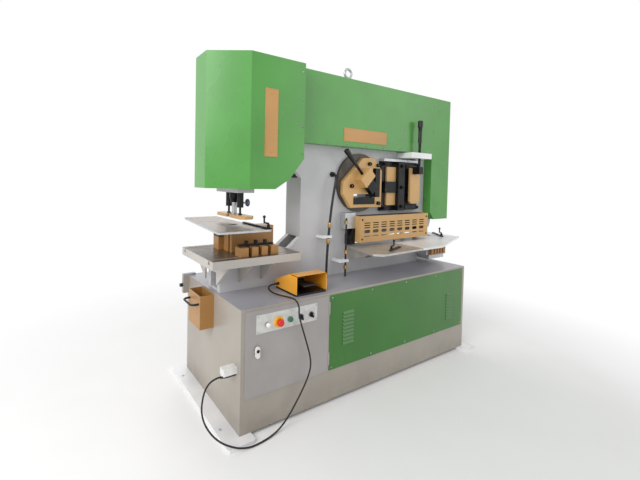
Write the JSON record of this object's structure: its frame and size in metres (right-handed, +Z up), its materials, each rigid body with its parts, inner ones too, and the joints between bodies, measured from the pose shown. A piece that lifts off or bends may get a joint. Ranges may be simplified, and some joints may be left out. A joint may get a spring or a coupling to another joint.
{
  "type": "ironworker machine",
  "caption": "Hydraulic ironworker with a punching throat, angle, section, flat-bar and notching stations, a foot switch on its cable and a control door.",
  "frame": {"origin": "centre of the four anchor holes, on the floor", "axes": "+X along the machine from the punch end to the notching end, -Y towards the operator, +Z up"},
  "size_m": [2.5673, 1.0692, 2.333],
  "materials": {
    "white": "satin",
    "body_grey": "satin",
    "body_light": "satin",
    "green": "satin",
    "gold": "satin",
    "black": "matt",
    "black_oxide": "satin",
    "steel": "satin",
    "silver": "satin",
    "copper_tan": "satin",
    "orange": "satin",
    "red_plastic": "gloss",
    "green_plastic": "gloss",
    "black_plastic": "matt",
    "blue_grey_plastic": "satin",
    "white_plastic": "satin",
    "cable_rubber": "matt",
    "cast_grey": "matt"
  },
  "bodies": {
    "machine": {"foot_bars": "white", "base_cabinet": "body_grey", "louvred_panel": "green", "electrical_panel": "silver", "power_pack": "cast_grey", "frame_front_plate": "body_light", "frame_back_plate": "body_light", "frame_spacers": "body_light", "shear_cylinder": "cast_grey", "punch_cylinder": "body_light", "stripper_posts": "black_oxide", "stripper_plate": "gold", "lower_table": "body_light", "upper_table": "steel", "die_holder": "gold", "bending_tools": "gold", "angle_housing": "gold", "blades_and_dies": "black_oxide", "angle_nut_block": "gold", "section_base": "black_oxide", "section_panels": "gold", "screw_bracket": "white", "flat_guard": "gold", "shear_table": "steel", "notch_table": "white", "notch_box": "silver", "pressure_pipe": "black", "upper_cover": "green", "end_cover": "green", "punch_hood": "green", "blank_plates": "copper_tan", "lifting_eye": "silver", "pedal_base": "black", "pedal_guard": "orange", "socket_housing": "white_plastic", "pedal_cable": "cable_rubber"},
    "shear_arm": {"shear_beam": "body_light", "moving_blades": "steel"},
    "shear_piston": {"shear_piston": "steel"},
    "stroke_rod": {"stroke_rod": "steel"},
    "punch_ram": {"punch_ram": "black_oxide", "punch": "steel"},
    "stripper_knob": {"stripper_knob": "blue_grey_plastic"},
    "punch_gauge": {"punch_gauge": "black_oxide"},
    "punch_clamp": {"punch_clamp_lever": "black_plastic"},
    "shear_gauge": {"shear_gauge": "black_oxide"},
    "notch_gauge": {"notch_gauge": "black_oxide"},
    "angle_pad": {"angle_pad": "black_oxide"},
    "angle_screw": {"angle_screw": "black_oxide"},
    "section_slide": {"section_slide": "gold"},
    "section_screw": {"section_screw": "black_oxide"},
    "control_door": {"control_door": "body_grey", "control_plate": "silver"},
    "door_lock": {"door_lock": "black_plastic"},
    "stop_button": {"stop_button": "red_plastic"},
    "start_button": {"start_button": "green_plastic"},
    "selector_left": {"selector_left": "black_plastic"},
    "selector_right": {"selector_right": "black_plastic"},
    "pedal_treadle": {"pedal_treadle": "black"},
    "scrap_bin": {"scrap_bin": "gold"}
  },
  "joints": [
    {"name": "shear_arm_swing", "type": "hinge", "parent": "machine", "child": "shear_arm", "pos_m": [-0.2, 0, 1.05], "axis": [0, 1, 0], "range_deg": [0, 3.5]},
    {"name": "shear_piston_slide", "type": "slide", "parent": "machine", "child": "shear_piston", "axis": [0, 0, -1], "range_m": [0, 0.0705]},
    {"name": "stroke_rod_slide", "type": "slide", "parent": "machine", "child": "stroke_rod", "axis": [0, 0, -1], "range_m": [0, 0.009]},
    {"name": "punch_ram_slide", "type": "slide", "parent": "machine", "child": "punch_ram", "axis": [0, 0, -1], "range_m": [0, 0.072]},
    {"name": "stripper_knob_turn", "type": "hinge", "parent": "machine", "child": "stripper_knob", "pos_m": [-0.87, -0.085, 1.275], "axis": [1, 0, 0], "range_deg": [0, 720]},
    {"name": "punch_gauge_slide", "type": "slide", "parent": "machine", "child": "punch_gauge", "axis": [-1, 0, 0], "range_m": [0, 0.045]},
    {"name": "punch_clamp_turn", "type": "hinge", "parent": "punch_gauge", "child": "punch_clamp", "pos_m": [-0.826, -0.3, 1.15], "axis": [0, 0, 1], "range_deg": [0, 90]},
    {"name": "shear_gauge_slide", "type": "slide", "parent": "machine", "child": "shear_gauge", "axis": [0, 1, 0], "range_m": [0, 0.06]},
    {"name": "notch_gauge_slide", "type": "slide", "parent": "machine", "child": "notch_gauge", "axis": [-0.8, 0.6, 0], "range_m": [0, 0.03]},
    {"name": "angle_pad_slide", "type": "slide", "parent": "machine", "child": "angle_pad", "axis": [0.7071, 0, -0.7071], "range_m": [0, 0.04]},
    {"name": "angle_screw_turn", "type": "hinge", "parent": "angle_pad", "child": "angle_screw", "pos_m": [0.25, -0.19, 1.3], "axis": [0.7071, 0, -0.7071], "range_deg": [0, 3605]},
    {"name": "section_slide_move", "type": "slide", "parent": "machine", "child": "section_slide", "axis": [0, 0, -1], "range_m": [0, 0.035]},
    {"name": "section_screw_turn", "type": "hinge", "parent": "section_slide", "child": "section_screw", "pos_m": [0.715, -0.215, 1.7], "axis": [0, 0, -1], "range_deg": [0, 3160]},
    {"name": "control_door_swing", "type": "hinge", "parent": "machine", "child": "control_door", "pos_m": [-0.449, -0.4448, 0.46], "axis": [0, 0, 1], "range_deg": [0, 110], "deforming": ["pedal_cable"]},
    {"name": "door_lock_turn", "type": "hinge", "parent": "control_door", "child": "door_lock", "pos_m": [-0.974, -0.44, 0.47], "axis": [0, 1, 0], "range_deg": [0, 90]},
    {"name": "stop_button_press", "type": "slide", "parent": "control_door", "child": "stop_button", "axis": [0, 1, 0], "range_m": [0, 0.005]},
    {"name": "start_button_press", "type": "slide", "parent": "control_door", "child": "start_button", "axis": [0, 1, 0], "range_m": [0, 0.003], "stiffness_N_per_m": 400, "springref_m": -0.001},
    {"name": "selector_left_turn", "type": "hinge", "parent": "control_door", "child": "selector_left", "pos_m": [-0.676, -0.44, 0.611], "axis": [0, 1, 0], "range_deg": [-45, 45]},
    {"name": "selector_right_turn", "type": "hinge", "parent": "control_door", "child": "selector_right", "pos_m": [-0.598, -0.44, 0.611], "axis": [0, 1, 0], "range_deg": [0, 60]},
    {"name": "pedal_treadle_press", "type": "hinge", "parent": "machine", "child": "pedal_treadle", "pos_m": [-0.56, -0.215, 0.753], "axis": [1, 0, 0], "range_deg": [0, 10], "stiffness_Nm_per_rad": 25, "springref_deg": -6.88},
    {"name": "scrap_bin_pull", "type": "slide", "parent": "machine", "child": "scrap_bin", "axis": [-1, 0, 0], "range_m": [0, 0.12]}
  ],
  "couplings": [
    {"joint": "shear_piston_slide", "follows": "shear_arm_swing", "m_per_rad": 1.15},
    {"joint": "stroke_rod_slide", "follows": "shear_arm_swing", "m_per_rad": 0.14},
    {"joint": "angle_screw_turn", "follows": "angle_pad_slide", "rad_per_m": 1570.8},
    {"joint": "section_screw_turn", "follows": "section_slide_move", "rad_per_m": 1570.8}
  ]
}
